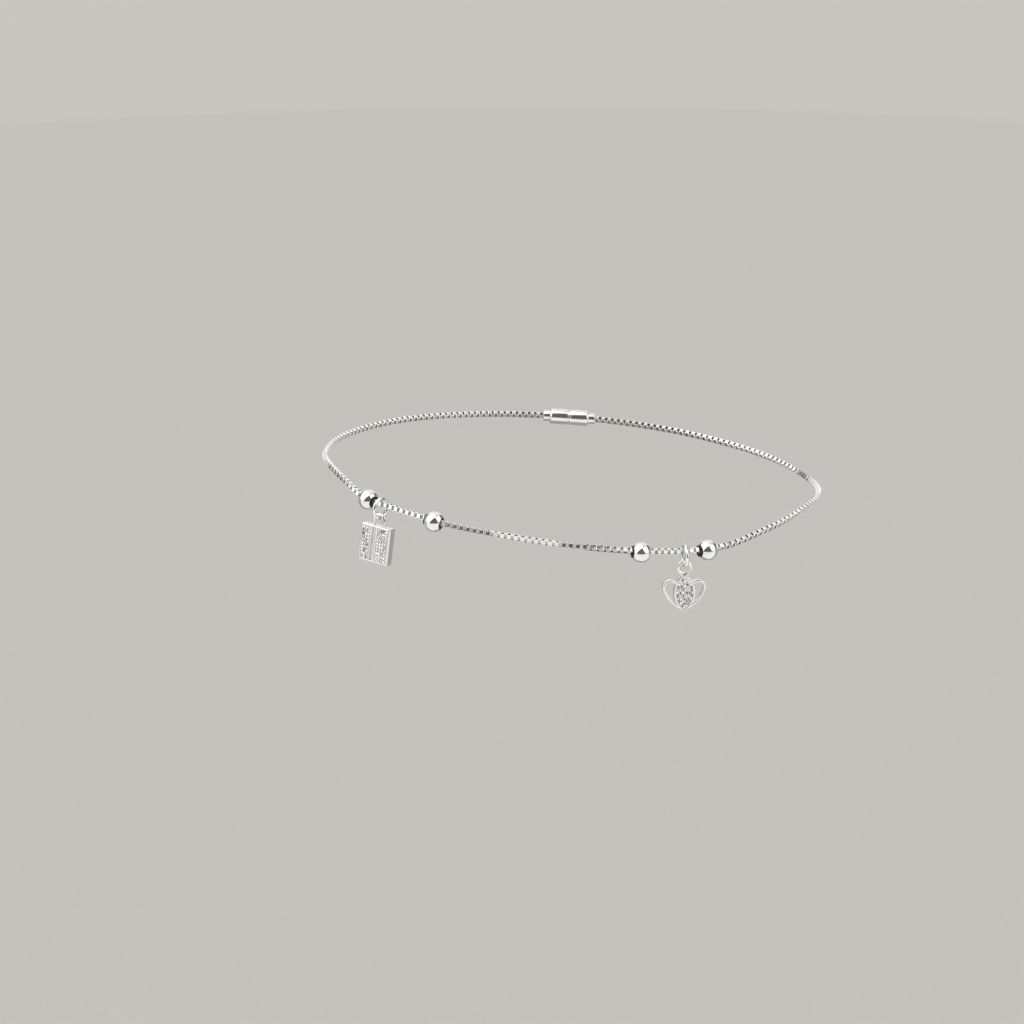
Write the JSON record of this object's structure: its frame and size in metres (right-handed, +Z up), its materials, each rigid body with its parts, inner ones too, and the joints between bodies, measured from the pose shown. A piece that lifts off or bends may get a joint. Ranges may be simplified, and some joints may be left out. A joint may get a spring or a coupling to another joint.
{
  "type": "charm anklet",
  "caption": "Fine box-chain anklet with round stopper beads, a pave padlock charm and an open heart charm on jump rings, shown as worn round an ankle.",
  "frame": {"origin": "centre of the hollow that the ankle fills, level with the middle of the chain", "axes": "+X points at the heel, -Y is the side with the charms, +Z runs up the leg"},
  "size_m": [0.0859, 0.0652, 0.0182],
  "materials": {
    "silver": "polished",
    "silicone": "matte",
    "stones": "faceted"
  },
  "bodies": {
    "root": {"box_chain": "silver", "clasp": "silver", "jump_ring_lock": "silver", "jump_ring_heart": "silver", "lock_charm": "silver", "lock_pave_left": "stones", "lock_pave_right": "stones", "heart_charm": "silver", "heart_pave": "stones", "bead_1": "silver", "bead_2": "silver", "bead_3": "silver", "bead_4": "silver", "bead_core_1": "silicone", "bead_core_2": "silicone", "bead_core_3": "silicone", "bead_core_4": "silicone"}
  },
  "joints": []
}
